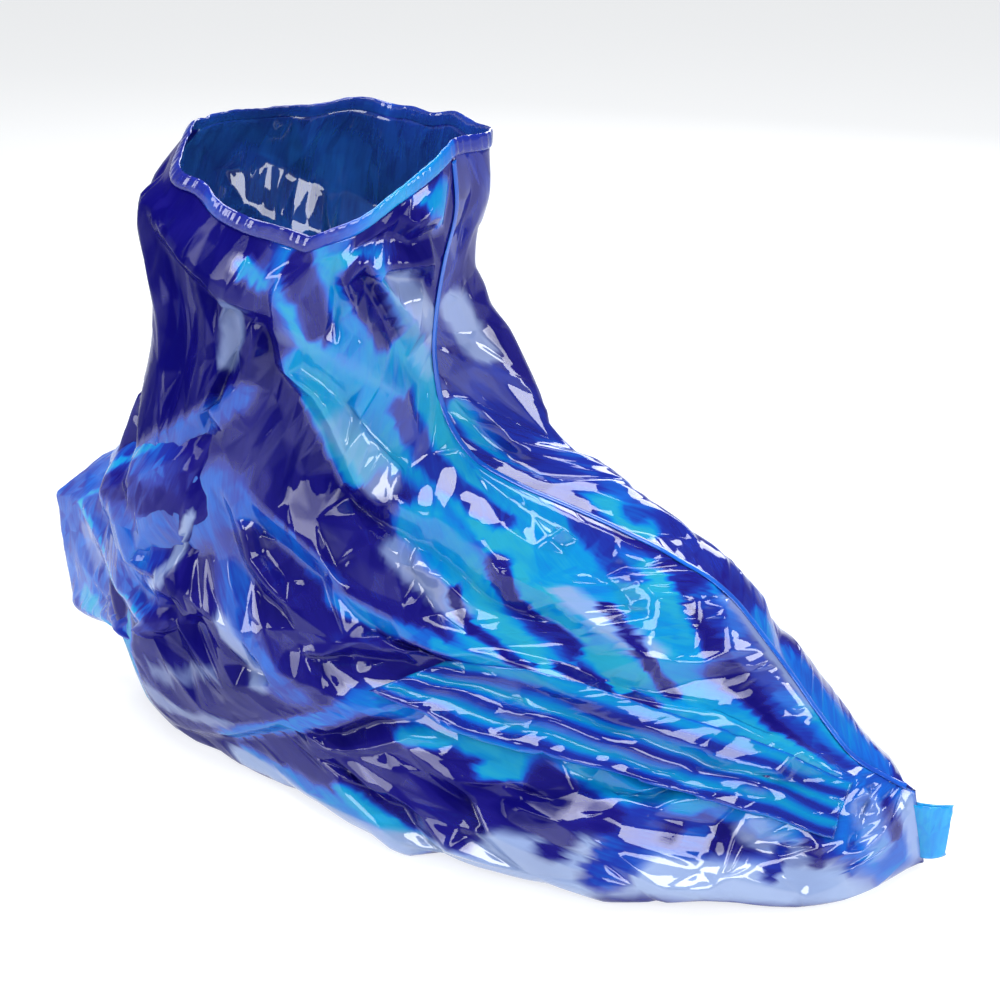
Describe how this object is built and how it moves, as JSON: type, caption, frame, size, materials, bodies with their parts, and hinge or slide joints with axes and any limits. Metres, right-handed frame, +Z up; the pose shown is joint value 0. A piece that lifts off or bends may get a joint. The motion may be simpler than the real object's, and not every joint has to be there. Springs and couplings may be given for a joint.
{
  "type": "disposable shoe cover",
  "caption": "Thin glossy film boot cover in its worn form: an open collar, a tent-like foot, welded seams, folded bag corners and a loose side pleat.",
  "frame": {"origin": "middle of the foot bed, on the top face of the sole film", "axes": "+Z up out of the collar, -Y towards the toe, +Y towards the heel, -X the side with the pleat"},
  "size_m": [0.1945, 0.4926, 0.3136],
  "materials": {
    "film": "translucent blue film, high gloss",
    "hem": "doubled translucent blue film, glossy",
    "seam": "heat-welded blue film, satin",
    "corner": "clear bright blue film, glossy",
    "pleat": "translucent blue film, high gloss"
  },
  "bodies": {
    "root": {"right_panel": "film", "left_panel": "film", "collar_hem": "hem", "front_seam": "seam", "back_seam": "seam", "sole_seam": "seam", "heel_corner": "corner", "toe_corner": "corner", "side_pleat": "pleat"}
  },
  "joints": []
}
